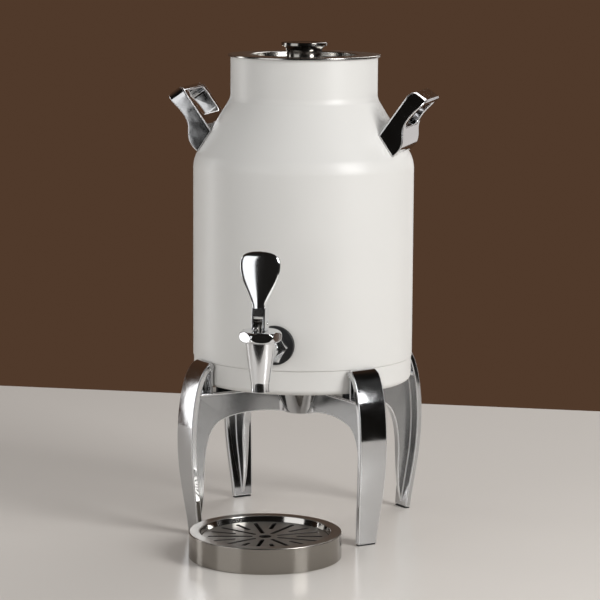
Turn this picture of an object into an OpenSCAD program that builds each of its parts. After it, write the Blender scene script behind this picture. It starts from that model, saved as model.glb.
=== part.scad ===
// Hot water urn: an insulated can with a spring tap, on a four-legged stand.
// Millimetres, +Z up. The origin is on the can's axis at table height, the tap
// points to -Y and the two carrying handles lie along X.

/* [Can] */
// Outer radius of the straight part of the can
can_r = 115; // [111:0.5:119]
// Height of the stand's ledge above the table
stand_h = 150; // [145:1:158]
// Height of the straight part, from the underside to the shoulder
body_h = 231.2; // [215:0.2:255]
// Height of the sloping shoulder
shoulder_h = 63; // [58:1:68]
// Outer radius of the neck
neck_r = 76.4; // [73:0.2:80]
// Height of the neck
neck_h = 44; // [38:1:52]
// Sheet thickness of the outer shell
shell_t = 1.2; // [1:0.1:1.6]
// Rounding where the body turns into the shoulder
shoulder_round = 30; // [15:1:40]
// Rounding where the shoulder turns into the neck
neck_round = 14; // [8:1:20]

/* [Base band] */
// Height of the base pan's visible band
band_h = 25; // [22:0.5:29]
// How far the band is set in from the shell
band_step = 0.8; // [0.4:0.1:1]
// Height of the shadow gap between the band and the shell
seam_gap = 0.6; // [0.3:0.1:1.2]
// Height of the pan's spigot inside the shell
spigot_h = 8; // [5:0.5:10]
// Sheet thickness of the base pan
pan_t = 1.2; // [1:0.1:1.5]
// Rounding of the pan's lower edge
pan_round = 6; // [4:0.5:8]
// Radius of the raised middle of the pan's underside
pan_rise_r = 74; // [60:1:85]
// Height of that raised middle
pan_rise = 3; // [2:0.5:5]

/* [Tank] */
// Space between the shell's sheet and the tank's sheet
wall_gap = 6.8; // [6.6:0.1:8]
// Sheet thickness of the tank
tank_t = 1; // [0.8:0.1:1.4]
// Height of the tank's floor above the can's underside
tank_up = 29.2; // [27:0.2:31]
// Rounding of the tank's lower edge
tank_round = 5; // [4:0.5:6]
// Thickness of the insulation under the tank
foam_floor_t = 11; // [6:0.5:16]

/* [Lid] */
// How far the lid's rim stands out past the neck
lid_overhang = 2.85; // [2:0.05:4]
// Sheet thickness of the lid
lid_t = 1.2; // [1:0.1:1.6]
// Depth of the rolled edge below the lid's top
hem_h = 2.2; // [1.8:0.1:3]
// Radius of the dish in the lid
dish_r = 55; // [45:1:60]
// Depth of the dish
dish_h = 6; // [4:0.5:8]
// Depth of the lid's inner pan inside the neck
plug_h = 21; // [18:1:28]
// Radial gap between the inner pan and the neck
plug_gap = 1; // [0.8:0.1:1.5]
// Height of the seal round the inner pan
seal_h = 9; // [6:0.5:11]

/* [Knob] */
// Radius of the knob's flared top
knob_r = 23.9; // [21:0.1:27]
// Radius of the knob's waist
knob_waist_r = 18.4; // [14:0.1:19]
// Height of the knob above the floor of the dish
knob_h = 18.8; // [16:0.1:24]
// Thickness of the knob's flared edge
knob_edge = 2.4; // [1.6:0.1:3]
// Nominal radius of the knob's screw
knob_screw_r = 2.5; // [2:0.1:3]

/* [Handles] */
// Height of the handles' fixing points above the shoulder's lower corner
handle_up = 20; // [17:0.5:24]
// Angle at which the handles rise from the horizontal
handle_rise = 54.5; // [50:0.5:60]
// Length of a handle from its fixing point to the end of the grip
handle_len = 57; // [52:0.5:64]
// Overall width of a handle, from arm to arm
handle_span = 82; // [76:1:90]
// Thickness of each arm
arm_t = 10; // [8:0.5:11]
// Thickness of the grip
grip_t = 8; // [6:0.5:10]
// Depth of the arms on the side of the neck, from the fixing point
arm_in = 17; // [15:0.5:19]
// Depth of the grip on the outer side, from the fixing point
grip_out = 2; // [1:0.5:5]
// How far the foot's lip stands out past the fixing point
lip_out = 9.5; // [7:0.5:11]
// Height of the foot, from the fixing point to the finger gap
foot_len = 20; // [17:0.5:23]
// Rounding of the handle's outer corners
handle_round = 12; // [8:0.5:15]
// Nominal radius of the handle screws
handle_screw_r = 3; // [2.5:0.1:3.4]
// Depth of the screws in the handle's foot
handle_screw_depth = 10; // [8:0.5:12]

/* [Tap] */
// Height of the tap's shank above the can's underside
tap_up = 52; // [50:0.2:65]
// Distance from the can's surface to the spout's axis
tap_reach = 57; // [52:1:66]
// Radius of the threaded shank
shank_r = 10; // [9:0.1:10.6]
// Radius of the water passage in the shank
shank_bore_r = 5.2; // [4:0.1:6]
// Radius of the rubber washer on the can
washer_r = 20; // [18:0.5:24]
// Thickness of that washer at its middle
washer_t = 3.2; // [3:0.1:4.5]
// Width across flats of the hexagon on the shank
shank_nut_af = 29; // [26:0.5:33]
// Length of that hexagon
shank_nut_len = 18; // [12:0.5:22]
// Width across flats of the lock nut in the tank
lock_nut_af = 29; // [26:0.5:30]
// Length of the lock nut
lock_nut_len = 6; // [5:0.5:9]
// Thickness of the washer in the tank
inner_washer_t = 4; // [3.4:0.1:5]
// Radius of the spout
spout_r = 9.3; // [8.6:0.1:10]
// Radius of the passage in the spout
spout_bore_r = 5.5; // [4.5:0.1:6]
// Depth of the spout's end below the shank's axis
spout_drop = 37.8; // [35:0.2:44]
// Length of the straight end of the spout
spout_end = 8.8; // [6:0.2:11]
// Radius of the tap's body under the bonnet
tap_top_r = 15.1; // [14.6:0.1:17]
// Depth of the valve seat below the shank's axis
seat_drop = 7.8; // [7:0.2:9]
// Radius of the valve chamber
chamber_r = 9.2; // [8.8:0.1:9.4]

/* [Bonnet and spindle] */
// Height of the bonnet's lower edge above the shank's axis
bonnet_up = 12.7; // [12:0.1:15]
// Height of the bonnet
bonnet_h = 11.5; // [10.5:0.1:14]
// Width across flats of the bonnet
bonnet_af = 38; // [36:0.5:40]
// Angle at which the bonnet's flats come to rest
bonnet_turn = 19; // [0:1:59]
// Thickness of the bonnet's top
bonnet_top_t = 5; // [4:0.2:6]
// Radius of the spindle
spindle_r = 4.4; // [4.2:0.1:4.6]
// Radius of the spindle's spring plate
plate_r = 8; // [7.7:0.1:8.2]
// Thickness of the spring plate
plate_t = 2; // [1.5:0.1:3]
// Radius of the silicone seat cup
cup_r = 7.4; // [6.8:0.1:7.8]
// Wire diameter of the return spring
wire_d = 1.2; // [0.9:0.1:1.4]
// Number of turns of the return spring
spring_turns = 5; // [4:1:6]

/* [Lever] */
// How far the spindle lifts when the lever is pulled right down
lift = 3; // [2:0.25:3.5]
// Angle through which the lever is pulled
lever_travel = 30; // [25:1:32]
// Height of the pivot above the lever's flat heel
heel_h = 7; // [6.6:0.1:8]
// Width of the lever's block
block_w = 13.9; // [12.5:0.1:16]
// Height of the block above the pivot
block_h = 19; // [16:0.5:22]
// Half width of the paddle
paddle_half_w = 20.6; // [17:0.2:23]
// Height of the paddle's widest point above the pivot
paddle_wide_h = 58.4; // [54:0.2:64]
// Height of the paddle's top above the pivot
paddle_top_h = 71.6; // [68:0.2:78]
// Half thickness of the paddle at its middle
paddle_half_t = 5.2; // [4.5:0.1:6]
// Half thickness of the paddle at its edge
paddle_edge = 2; // [1.4:0.1:2.6]
// Radius of the pivot pin
pin_r = 1.5; // [1.2:0.1:1.8]

/* [Legs] */
// How far the legs' belly stands out past the can
belly_out = 26.5; // [22:0.5:32]
// Height of the belly
belly_h = 100; // [90:1:108]
// How far the feet stand out past the can
foot_out = 16; // [13:0.5:20]
// Height of the hooks above the ledge
hook_h = 31.5; // [28:0.5:36]
// Thickness of the legs' outer plate
plate_thick = 6; // [5:0.5:7]
// Half width of that plate
plate_half_w = 16; // [14:0.5:19]
// Half width of the plate at the foot
foot_half_w = 11; // [9:0.5:13]
// Thickness of the strip that holds the can
strip_t = 3.2; // [2.6:0.2:4]
// Half width of the strip and of the arm's flange
strip_half_w = 14.5; // [12:0.5:15.5]
// Thickness of the arm's flange
flange_t = 3; // [2.6:0.2:4]
// Half thickness of the leg's web
web_half_t = 4; // [3:0.25:5]
// Depth of the web behind the plate, halfway up the leg
web_depth = 16; // [13:0.5:19]
// Height of the arch under the arms
arch_h = 124; // [118:1:127]
// Thickness of the foot pads
pad_t = 1.2; // [1:0.1:2]
// Height of the rubber rests between the ledge and the can
rest_h = 4.8; // [3.6:0.2:6]
// Radius of those rests
rest_r = 8; // [6:0.5:10]

/* [Hub] */
// Radius of the hub's lower end
hub_low_r = 20.5; // [20:0.5:23]
// Radius of the hub's upper end
hub_top_r = 35; // [32:0.5:38]
// Height of the hub's lower end
hub_z = 118.3; // [114:0.5:120]
// Distance of the hub's screws from the axis
hub_screw_pcr = 17; // [16:0.5:19]
// Nominal radius of the hub's screws
hub_screw_r = 2.5; // [2:0.1:3]
// Length of the hub's screws
hub_screw_len = 16; // [12:0.5:18]

/* [Drip tray] */
// Outer radius of the tray
tray_r = 76.7; // [70:0.5:82]
// Height of the tray
tray_h = 26.2; // [22:0.2:32]
// Distance of the tray's centre from the can's axis
tray_out = 162.6; // [158:0.5:172]
// How far the tray stands to the right of the spout
tray_side = 3; // [-8:0.5:8]
// Width of the tray's rim
tray_rim_w = 11; // [9:0.5:13]
// Depth of the grille below the rim
grille_drop = 6; // [4:0.5:7]
// Sheet thickness of the tray
tray_t = 1.5; // [1.2:0.1:2]
// Thickness of the grille
grille_t = 1.6; // [1.2:0.1:2.2]
// Number of long slots, with as many short ones between them
slot_pairs = 9; // [7:1:10]
// Width of the slots
slot_w = 4.2; // [2.8:0.1:4.4]
// Radius of the finger hole in the grille
finger_r = 6.3; // [5:0.1:8]
// Angle of the first long slot
grille_turn = -5; // [-20:1:20]

/* [Clearances] */
// Radial gap between the spindle and its guide, and between pin and eye
running_gap = 0.06; // [0.03:0.01:0.08]
// Gap between parts that slide or lift past each other
sliding_gap = 0.3; // [0.2:0.05:0.5]
// Gap between parts that are screwed together
seat_gap = 0.1; // [0.05:0.05:0.2]
// Gap between the can and the legs' hooks
hook_gap = 0.4; // [0.3:0.05:0.8]
// Radial gap of the seal in the neck
seal_gap = 0.25; // [0.15:0.05:0.4]

/* [Hidden] */
$fn = 96;

paint = "#e4e0d8";
steel = "#b9b6b0";
chrome = "#d5d8dc";
satin = "#a8abad";
rubber = "#1d1d1f";
silicone = "#c9c6bd";

// Can: heights and the slope of the shoulder
can_z = stand_h + rest_h;
seam_z = can_z + band_h;
shoulder_z = can_z + body_h;
neck_z = shoulder_z + shoulder_h;
mouth_z = neck_z + neck_h;
slope = atan((can_r - neck_r) / shoulder_h);
spigot_r = can_r - shell_t - seat_gap;
tank_inset = shell_t + wall_gap;
tank_floor_z = can_z + tank_up;
low_weld_z = shoulder_z - shoulder_round;
high_weld_z = neck_z + neck_round / 2;
foam_outer = can_r - spigot_r + pan_t + sliding_gap;
foam_inner = tank_inset - sliding_gap;

// Lid
lid_z = mouth_z;
lid_top_z = lid_z + lid_t;
lid_r = neck_r + lid_overhang;
dish_z = lid_top_z - dish_h;
plug_r = neck_r - tank_inset - tank_t - plug_gap;
plug_z = lid_z - plug_h;

// Handles: fixing point on the shoulder and the screws in each foot
handle_z = shoulder_z + handle_up;
handle_anchor_r = can_r - handle_up * tan(slope);
handle_screw_t = handle_span / 2 - arm_t * 1.3;
handle_screw_az = asin(handle_screw_t / handle_anchor_r);
grip_u = handle_len - grip_t;
washer_h = 1.5;
washer_play = 0.3;

// Tap
tap_z = can_z + tap_up;
tap_y = -can_r - tap_reach;
washer_face_y = -can_r - washer_t;
nut_face_y = washer_face_y - shank_nut_len;
tank_face_y = -(can_r - tank_inset - tank_t);
lock_face_y = tank_face_y + inner_washer_t;
shank_end_y = lock_face_y + lock_nut_len + 4;
seat_z = tap_z - seat_drop;
bonnet_z = tap_z + bonnet_up;
bonnet_top_z = bonnet_z + bonnet_h;
ceiling_z = bonnet_top_z - bonnet_top_t;
thread_r = tap_top_r - 1.4;
cup_z = seat_z + sliding_gap;
plate_z = tap_z + 0.2;
spring_r = (spindle_r + chamber_r) / 2;

// Lever: the heel is an involute, so that the spindle lifts in step with it
pivot_z = bonnet_top_z + sliding_gap + heel_h;
cam_r = lift / (lever_travel * PI / 180);
eye_r = spindle_r - 0.4;
eye_half_t = spindle_r - 0.3;
slot_half = eye_half_t + sliding_gap;
slot_top = eye_r + 3;
lens_r = (pow(paddle_half_w, 2) + pow(paddle_half_t - paddle_edge, 2))
    / (2 * (paddle_half_t - paddle_edge));

// Stand
hook_r = can_r + hook_gap;
crest_r = hook_r + strip_t;
crest_z = stand_h + hook_h;
belly_r = can_r + belly_out;
foot_r = can_r + foot_out;
inner_r = belly_r - plate_thick - web_depth;
flange_z = stand_h - flange_t;
pad_len = 5 / 6 * plate_thick;
leg_turn = [-45, 45, 135, 225];

// Tray
grille_z = tray_h - grille_drop;
grille_r = tray_r - tray_rim_w - tray_t - sliding_gap;
ledge_w = 4;

// Outline helpers
function turned(p, a) = [p[0] * cos(a) - p[1] * sin(a), p[0] * sin(a) + p[1] * cos(a)];
function backwards(v) = [for (i = [len(v) - 1:-1:0]) v[i]];

// Arc of radius r that rounds the corner b of the path a, b, c
function rounded(a, b, c, r, steps = 6) =
    let (
        u = (a - b) / norm(a - b),
        v = (c - b) / norm(c - b),
        half = acos(u * v) / 2,
        centre = b + (u + v) / norm(u + v) * r / sin(half),
        start = b + u * r / tan(half) - centre,
        sweep = (cross(u, v) > 0 ? -1 : 1) * (180 - 2 * half)
    )
    [for (i = [0:steps]) centre + turned(start, sweep * i / steps)];

// Point and tangent of a cubic curve with four control points
function curve_at(p, t) = pow(1 - t, 3) * p[0] + 3 * pow(1 - t, 2) * t * p[1]
    + 3 * (1 - t) * t * t * p[2] + pow(t, 3) * p[3];
function curve_dir(p, t) =
    let (d = pow(1 - t, 2) * (p[1] - p[0]) + 2 * (1 - t) * t * (p[2] - p[1]) + t * t * (p[3] - p[2]))
    d / norm(d);
function curve(p, steps, first = 0) = [for (i = [first:steps]) curve_at(p, i / steps)];

// The same curve moved to its left by d
function curve_beside(p, d, steps, first = 0) =
    [for (i = [first:steps]) curve_at(p, i / steps) + d * turned(curve_dir(p, i / steps), 90)];

// The can's wall, inset by a distance, from height low to height high
function wall(inset, low, high) =
    let (
        r = can_r - inset,
        rn = neck_r - inset,
        drop = inset * tan(slope / 2),
        a = [r, low],
        b = [r, shoulder_z - drop],
        c = [rn, neck_z - drop],
        d = [rn, high]
    )
    concat([a], rounded(a, b, c, shoulder_round - inset), rounded(b, c, d, neck_round + inset), [d]);

// Lays a profile drawn as (outward, up) into the XZ plane, centred on its thickness
module upright(thickness)
    rotate([90, 0, 0])
        linear_extrude(thickness, center = true)
            children();

// Lays a shape drawn as (sideways, up) across the X axis, from x0 to x1
module across(x0, x1)
    translate([x0, 0, 0])
        rotate([90, 0, 90])
            linear_extrude(x1 - x0)
                children();

// Puts a shape made along +Z on the tap's horizontal axis, pointing outwards from y
module on_shank(y)
    translate([0, y, tap_z])
        rotate([90, 0, 0])
            children();

// Puts children at the tap's vertical axis
module at_tap()
    translate([0, tap_y, 0])
        children();

// Hexagonal nut with chamfered ends
module hexagon(af, height, bore_r, chamfer = 1.2)
    difference() {
        intersection() {
            cylinder(d = af / cos(30), h = height, $fn = 6);
            rotate_extrude()
                polygon([[0, 0], [af / 2, 0], [af / 2 / cos(30), chamfer],
                    [af / 2 / cos(30), height - chamfer], [af / 2, height], [0, height]]);
        }
        translate([0, 0, -1])
            cylinder(r = bore_r, h = height + 2);
    }

// ---------- stand ----------

module hub()
    color(chrome)
        difference() {
            rotate_extrude()
                polygon(concat(
                    [[0, hub_z]],
                    rounded([0, hub_z], [hub_low_r, hub_z], [hub_top_r, flange_z], 1.5),
                    [[hub_top_r, flange_z], [0, flange_z]]));
            for (a = leg_turn)
                rotate([0, 0, a])
                    translate([hub_screw_pcr, 0, stand_h - hub_screw_len - 1])
                        cylinder(r = hub_screw_r + 0.02, h = hub_screw_len + 2);
        }

foot_curve = [[foot_r, pad_t], [foot_r + plate_thick / 2, 0.32 * belly_h], [belly_r, 0.62 * belly_h],
    [belly_r, belly_h]];
hook_curve = let (in = belly_r - crest_r, up = crest_z - belly_h)
    [[belly_r, belly_h], [belly_r, belly_h + 0.49 * up], [crest_r + 0.655 * in, crest_z - plate_thick],
        [crest_r, crest_z]];
arch_foot = [foot_r - 0.75 * plate_thick, 3 * pad_t];
arch_turn = [0.84 * inner_r, 0.948 * arch_h];
arch_curves = [
    [arch_foot, [inner_r + pad_t, 0.15 * belly_h], [inner_r, 0.35 * belly_h], [inner_r, 0.6 * belly_h]],
    [[inner_r, 0.6 * belly_h], [inner_r, 0.92 * belly_h], [0.95 * inner_r, 0.904 * arch_h], arch_turn],
    [arch_turn, [0.715 * inner_r, arch_h], [0.465 * inner_r, 1.02 * arch_h], [hub_low_r, 0.965 * arch_h]]
];
tab_half_w = 0.48 * strip_half_w;
rest_pcr = can_r - 2.5 * rest_r;
rest_stem_r = 0.3 * rest_r;
contact_gap = 0.02;

// Side view of the outer plate, from the foot to the crest of the hook
module plate_side() {
    outer = concat(curve(foot_curve, 12), curve(hook_curve, 16, 1));
    inner = concat(curve_beside(foot_curve, plate_thick, 12), curve_beside(hook_curve, plate_thick, 16, 1));
    polygon(concat(outer, [[hook_r + 0.4 * strip_t, crest_z - 0.25 * strip_t], [hook_r, crest_z - strip_t],
        [hook_r, crest_z - 2.5 * strip_t], [crest_r, crest_z - 3 * strip_t]],
        backwards([for (p = inner) if (p[0] > crest_r) p])));
}

// Side view of the strip behind the hook and of the flange that carries the can
module strip_side() {
    translate([hook_r, flange_z])
        square([strip_t, crest_z - flange_z - 1.25 * strip_t]);
    translate([hub_screw_pcr / 2, flange_z])
        square([belly_r - hub_screw_pcr / 2, flange_t]);
}

// Side view of the web, which fills the leg and the arm
module web_side()
    polygon(concat(
        [for (p = curve_beside(foot_curve, 0.42 * plate_thick, 11)) if (p[1] > 3.5 * pad_t) p],
        curve_beside(hook_curve, 0.42 * plate_thick, 15, 1),
        [[hook_r + strip_t / 3, crest_z - plate_thick], [hook_r + strip_t / 3, stand_h - flange_t / 3],
            [hub_low_r, stand_h - flange_t / 3]],
        backwards(concat(curve(arch_curves[0], 10), curve(arch_curves[1], 12, 1),
            curve(arch_curves[2], 10, 1)))));

// Front view of the plate: straight sides, narrowing to the foot, rounded at the top
module plate_front() {
    side = concat(
        curve([[foot_half_w, 0], [1.09 * foot_half_w, 0.25 * belly_h], [plate_half_w, 0.55 * belly_h],
            [plate_half_w, belly_h]], 8),
        rounded([plate_half_w, belly_h], [plate_half_w, crest_z + pad_t], [0, crest_z + pad_t],
            plate_thick));
    polygon(concat(side, backwards([for (p = side) [-p[0], p[1]]])));
}

// Front view of the web, which runs out to an edge at the foot
module web_front()
    polygon([[-web_half_t / 4, 0], [web_half_t / 4, 0], [web_half_t, 0.65 * belly_h], [web_half_t, crest_z],
        [-web_half_t, crest_z], [-web_half_t, 0.65 * belly_h]]);

// Plan of the strip and the flange, which narrows to a tab on the hub
module strip_plan() {
    narrow = 1.7 * hub_screw_pcr;
    wide = 3.2 * hub_screw_pcr;
    polygon([[0, -tab_half_w], [narrow, -tab_half_w], [wide, -strip_half_w], [belly_r, -strip_half_w],
        [belly_r, strip_half_w], [wide, strip_half_w], [narrow, tab_half_w], [0, tab_half_w]]);
}

// Plan of the web's root, which spreads on to the hub
module root_plan() {
    side = curve([[1.5 * hub_low_r, 0], [1.25 * hub_low_r, 0], [1.08 * hub_low_r, 0.05 * hub_low_r],
        [hub_low_r, 0.16 * hub_low_r]], 7);
    flank = [for (p = side) [p[0], p[1] + web_half_t - contact_gap]];
    polygon(concat(flank, [[0, web_half_t], [0, -web_half_t]], backwards([for (p = flank) [p[0], -p[1]]])));
}

module leg(a)
    rotate([0, 0, a])
        difference() {
            union() {
                color(chrome)
                    intersection() {
                        upright(2 * plate_half_w)
                            plate_side();
                        across(0, belly_r + plate_thick)
                            plate_front();
                    }
                color(satin)
                    intersection() {
                        upright(2 * strip_half_w)
                            intersection() {
                                strip_side();
                                web_outline();
                            }
                        linear_extrude(crest_z + plate_thick)
                            strip_plan();
                    }
                color(satin)
                    difference() {
                        intersection() {
                            upright(2 * web_half_t)
                                web_side();
                            across(0, belly_r + plate_thick)
                                web_front();
                        }
                        hub_space();
                    }
                color(chrome)
                    difference() {
                        intersection() {
                            upright(2 * hub_low_r)
                                web_side();
                            linear_extrude(stand_h)
                                root_plan();
                        }
                        hub_space();
                    }
            }
            translate([rest_pcr, 0, stand_h - flange_t])
                cylinder(r = rest_stem_r + contact_gap, h = rest_h);
            translate([hub_screw_pcr, 0, 0]) {
                cylinder(r = hub_screw_r + 0.2, h = stand_h + 1);
                translate([0, 0, stand_h - hub_screw_r])
                    cylinder(r1 = hub_screw_r + 0.2, r2 = 2 * hub_screw_r + 0.2, h = hub_screw_r + 0.01);
            }
        }

// Everything inside the plate's outer face, so that the flange stops there
module web_outline()
    polygon(concat(
        curve_beside(foot_curve, plate_thick / 6, 12),
        curve_beside(hook_curve, plate_thick / 6, 16, 1),
        [[hook_r, crest_z - strip_t], [0, crest_z - strip_t], [0, 0]]));

// The room that the hub takes out of the arms' webs
module hub_space()
    rotate_extrude()
        polygon([[0, hub_z - 10], [hub_low_r + seat_gap, hub_z - 10], [hub_low_r + seat_gap, hub_z],
            [hub_top_r + seat_gap, flange_z], [0, flange_z]]);

module hub_screws()
    color(steel)
        for (a = leg_turn)
            rotate([0, 0, a])
                translate([hub_screw_pcr, 0, stand_h - hub_screw_len])
                    difference() {
                        union() {
                            cylinder(r = hub_screw_r, h = hub_screw_len - hub_screw_r);
                            translate([0, 0, hub_screw_len - hub_screw_r])
                                cylinder(r1 = hub_screw_r, r2 = 2 * hub_screw_r, h = hub_screw_r);
                        }
                        translate([0, 0, hub_screw_len - 2])
                            cylinder(d = 3.4, h = 3, $fn = 6);
                    }

module foot_pads()
    color(rubber)
        for (a = leg_turn)
            rotate([0, 0, a])
                translate([foot_r - plate_thick / 12 - pad_len, -0.9 * foot_half_w, 0])
                    cube([pad_len, 1.8 * foot_half_w, pad_t]);

// Rubber buttons on the ledge, each with a stem in a hole
module can_rests()
    color(rubber)
        for (a = leg_turn)
            rotate([0, 0, a])
                translate([rest_pcr, 0, stand_h]) {
                    rotate_extrude()
                        polygon(concat(
                            [[0, 0], [rest_r, 0]],
                            rounded([rest_r, 0], [rest_r, rest_h - contact_gap], [0, rest_h - contact_gap],
                                rest_h / 4, 4),
                            [[0, rest_h - contact_gap]]));
                    translate([0, 0, -flange_t])
                        cylinder(r = rest_stem_r, h = flange_t + contact_gap);
                }

// ---------- can ----------

// Solid cylinder on the outward normal of the shoulder at a handle's screw
module on_shoulder(az)
    rotate([0, 0, az])
        translate([handle_anchor_r, 0, handle_z])
            rotate([0, 90 - slope, 0])
                children();

module at_handle_screws()
    for (side = [0, 180], az = [-handle_screw_az, handle_screw_az])
        on_shoulder(side + az)
            children();

module base_pan() {
    r = can_r - band_step;
    in_r = spigot_r - pan_t;
    step_r = pan_rise_r + pan_rise;
    color(paint)
        rotate_extrude()
            polygon(concat(
                [[0, can_z + pan_rise], [pan_rise_r, can_z + pan_rise], [step_r, can_z]],
                rounded([0, can_z], [r, can_z], [r, seam_z], pan_round),
                [[r, seam_z], [spigot_r, seam_z], [spigot_r, seam_z + spigot_h], [in_r, seam_z + spigot_h]],
                rounded([in_r, seam_z], [in_r, can_z + pan_t], [0, can_z + pan_t], pan_round - pan_t),
                [[step_r, can_z + pan_t], [pan_rise_r, can_z + pan_rise + pan_t],
                    [0, can_z + pan_rise + pan_t]]));
}

module outer_shell()
    color(paint)
        difference() {
            rotate_extrude()
                polygon(concat(
                    wall(0, seam_z + seam_gap, mouth_z - tank_t),
                    backwards(wall(shell_t, seam_z + seam_gap, mouth_z - tank_t))));
            on_shank(-can_r / 2)
                cylinder(r = shank_r + seat_gap, h = can_r);
            at_handle_screws()
                translate([0, 0, -2 * shell_t])
                    cylinder(r = handle_screw_r + seat_gap, h = 4 * shell_t);
        }

module inner_tank() {
    out_r = can_r - tank_inset;
    in_r = out_r - tank_t;
    color(steel)
        difference() {
            rotate_extrude()
                polygon(concat(
                    [[0, tank_floor_z]],
                    rounded([0, tank_floor_z], [out_r, tank_floor_z], [out_r, low_weld_z], tank_round),
                    [[out_r, low_weld_z], [in_r, low_weld_z]],
                    rounded([in_r, low_weld_z], [in_r, tank_floor_z + tank_t], [0, tank_floor_z + tank_t],
                        tank_round - tank_t),
                    [[0, tank_floor_z + tank_t]]));
            on_shank(-can_r / 2)
                cylinder(r = shank_r + seat_gap, h = can_r);
        }
}

// Cone of the tank, welded to the body below and to the neck above
module tank_shoulder()
    color(steel)
        rotate_extrude()
            polygon(concat(
                wall(tank_inset, low_weld_z, high_weld_z),
                backwards(wall(tank_inset + tank_t, low_weld_z, high_weld_z))));

// Neck of the tank, with the flange that hangs on the shell
module tank_neck() {
    out_r = neck_r - tank_inset;
    color(steel)
        rotate_extrude()
            polygon([[out_r, high_weld_z], [out_r, mouth_z - tank_t], [neck_r, mouth_z - tank_t],
                [neck_r, mouth_z], [out_r - tank_t, mouth_z], [out_r - tank_t, high_weld_z]]);
}

module insulation() {
    out_r = can_r - foam_outer;
    in_r = can_r - foam_inner;
    top = tank_floor_z - sliding_gap;
    color(silicone)
        difference() {
            rotate_extrude()
                polygon(concat(
                    [[0, top - foam_floor_t]],
                    rounded([0, top - foam_floor_t], [out_r, top - foam_floor_t], [out_r, shoulder_z], 6),
                    wall(foam_outer, top + 10, mouth_z - 5),
                    backwards(wall(foam_inner, top + 10, mouth_z - 5)),
                    rounded([in_r, shoulder_z], [in_r, top], [0, top], tank_round),
                    [[0, top]]));
            on_shank(-can_r / 2)
                cylinder(r = shank_r + 2, h = can_r);
            at_handle_screws()
                translate([0, 0, -tank_inset - 1])
                    cylinder(r = 2 * handle_screw_r + 2, h = tank_inset);
        }
}

// ---------- handles ----------

// Side view of a handle, drawn as (out from the neck, along the arm)
module handle_side() {
    end = handle_len;
    waist = handle_len * 0.5;
    polygon(concat(
        [[-arm_in, -12]],
        rounded([-arm_in, 0], [-arm_in, end], [grip_out, end], 7),
        rounded([-arm_in, end], [grip_out, end], [grip_out - 1, end - 12], 2.6),
        curve([[grip_out - 0.5, end - 6], [grip_out - 2.4, end - 16], [-1.6, waist + 10],
            [-1.6, waist]], 6),
        curve([[-1.6, waist], [-1.6, waist - 12], [lip_out - 5, 15], [lip_out - 1.5, 7]], 6, 1),
        curve([[lip_out - 1.5, 7], [lip_out + 1.5, 1], [lip_out + 0.5, -8], [lip_out - 4, -14]], 6, 1),
        [[lip_out - 12, -18]]));
}

// Front view of a handle's loop, drawn as (sideways, along the arm)
module handle_loop() {
    w = handle_span / 2;
    gap_w = w - arm_t;
    difference() {
        polygon(concat(
            [[-w, -30], [w, -30]],
            rounded([w, 0], [w, handle_len], [0, handle_len], handle_round),
            rounded([0, handle_len], [-w, handle_len], [-w, 0], handle_round)));
        polygon(concat(
            rounded([0, foot_len], [gap_w, foot_len], [gap_w, grip_u], 5),
            rounded([gap_w, foot_len], [gap_w, grip_u], [0, grip_u], 5),
            rounded([0, grip_u], [-gap_w, grip_u], [-gap_w, foot_len], 5),
            rounded([-gap_w, grip_u], [-gap_w, foot_len], [0, foot_len], 5)));
    }
}

module handle_right()
    color(chrome)
        difference() {
            translate([handle_anchor_r, 0, handle_z])
                rotate([0, 90 - handle_rise, 0])
                    intersection() {
                        upright(handle_span)
                            handle_side();
                        across(-arm_in - 5, lip_out + 15)
                            handle_loop();
                    }
            rotate_extrude()
                polygon(concat([[0, seam_z]], wall(-seat_gap, seam_z, mouth_z), [[0, mouth_z]]));
            for (az = [-handle_screw_az, handle_screw_az])
                on_shoulder(az)
                    translate([0, 0, -2])
                        cylinder(r = handle_screw_r, h = handle_screw_depth + 3);
        }

module handle_left()
    rotate([0, 0, 180])
        handle_right();

module handle_screws()
    color(steel)
        at_handle_screws()
            difference() {
                translate([0, 0, -shell_t - washer_h]) {
                    cylinder(r = handle_screw_r - seat_gap / 2, h = washer_h + shell_t + handle_screw_depth);
                    cylinder(r = 2 * handle_screw_r, h = washer_h - washer_play);
                    translate([0, 0, -3])
                        cylinder(r = 1.6 * handle_screw_r, h = 3.5);
                }
                translate([0, 0, -shell_t - washer_h - 4])
                    cylinder(d = 4, h = 3, $fn = 6);
            }

// ---------- tap ----------

module tap_washer()
    color(rubber)
        difference() {
            on_shank(-can_r + 8)
                cylinder(r = washer_r, h = washer_t + 8);
            on_shank(-can_r + 10)
                cylinder(r = shank_r + seat_gap, h = washer_t + 20);
            cylinder(r = can_r + seat_gap, h = mouth_z, $fn = 360);
        }

module shank_nut()
    color(chrome)
        on_shank(washer_face_y)
            hexagon(shank_nut_af, shank_nut_len, shank_r + seat_gap);

// Half outline of the tap's vertical body
body_curve = let (low = tap_z - spout_drop + spout_end, rise = bonnet_z - low)
    [[spout_r, low], [spout_r + 0.04 * rise, low + 0.24 * rise],
        [tap_top_r - 0.04 * rise, low + 0.58 * rise], [tap_top_r, bonnet_z]];

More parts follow.
